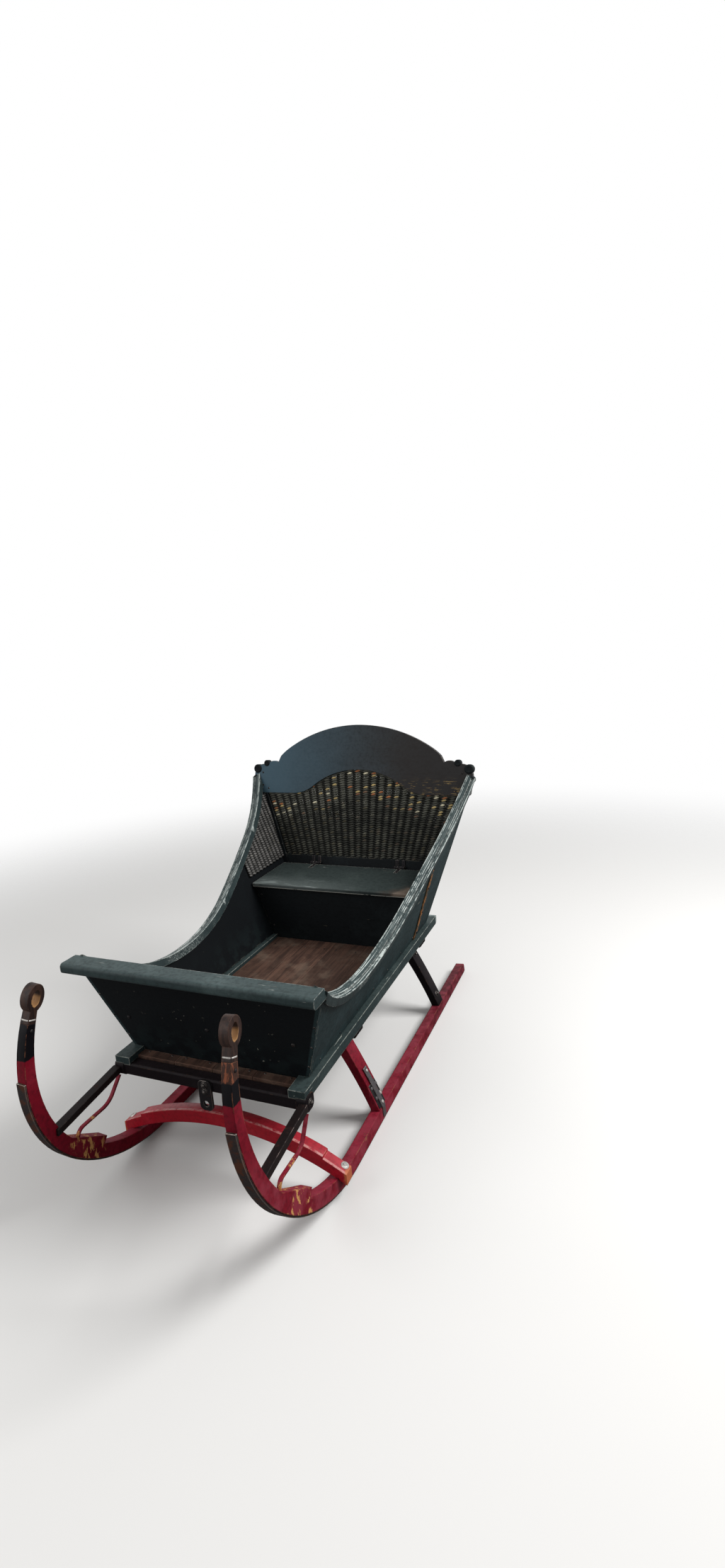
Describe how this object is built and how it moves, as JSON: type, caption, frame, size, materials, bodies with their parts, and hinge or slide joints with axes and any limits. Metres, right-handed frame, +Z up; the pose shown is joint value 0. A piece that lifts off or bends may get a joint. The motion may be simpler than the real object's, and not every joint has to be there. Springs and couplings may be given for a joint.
{
  "type": "horse drawn sleigh",
  "caption": "Old horse drawn sleigh: bent wooden runners with eyed horns, flared panelled body, swept rails, arched crest, woven back and hinged seat lid.",
  "frame": {"origin": "on the floor under the middle of the sleigh's bounding box", "axes": "+Z up, the front (horns) faces -Y, the sleigh's own left is +X"},
  "size_m": [1.1076, 1.952, 1.2765],
  "materials": {
    "runner_red": "worn crimson paint",
    "beam_red": "brighter red paint, worn",
    "horn_wood": "bare dark wood and iron",
    "shoe_iron": "worn iron",
    "ironwork": "black iron, worn",
    "body_black": "near-black worn paint",
    "body_green": "dark petrol green paint, worn",
    "rail_green": "green-grey paint rubbed to pale wood",
    "wicker": "woven willow, dark green paint",
    "floor_wood": "bare brown planks"
  },
  "bodies": {
    "frame": {"runner_left": "runner_red", "runner_right": "runner_red", "runner_shoe_left": "shoe_iron", "runner_shoe_right": "shoe_iron", "horn_eye_left": "horn_wood", "horn_eye_right": "horn_wood", "front_arch_beam": "beam_red", "front_leg_left": "runner_red", "front_leg_right": "runner_red", "rear_leg_left": "body_black", "rear_leg_right": "body_black", "middle_cross_beam": "body_black", "rear_cross_beam": "body_black", "nose_beam": "body_black", "front_strut_left": "ironwork", "front_strut_right": "ironwork", "horn_braces": "runner_red", "sill_left": "rail_green", "sill_right": "rail_green", "floor_boards": "floor_wood", "side_board_left": "body_green", "side_board_right": "body_green", "top_rail_left": "rail_green", "top_rail_right": "rail_green", "dash_panel": "body_green", "front_cap": "body_green", "crest_board": "body_green", "back_post_left": "body_green", "back_post_right": "body_green", "seat_rail": "body_green", "lower_back_panel": "body_green", "woven_back": "wicker", "woven_side_left": "wicker", "woven_side_right": "wicker", "seat_box_front": "body_green", "lid_ledge_left": "body_green", "lid_ledge_right": "body_green", "lid_hinge_plates": "ironwork", "side_strap_left": "ironwork", "side_strap_right": "ironwork", "leg_stay_left": "ironwork", "leg_stay_right": "ironwork", "draft_iron": "ironwork"},
    "seat_lid": {"seat_lid": "body_green", "lid_hinge_straps": "ironwork"}
  },
  "joints": [
    {"name": "lid_hinge", "type": "hinge", "parent": "frame", "child": "seat_lid", "pos_m": [0, 0.64456, 0.6445], "axis": [-1, 0, 0], "range_deg": [0, 95]}
  ]
}
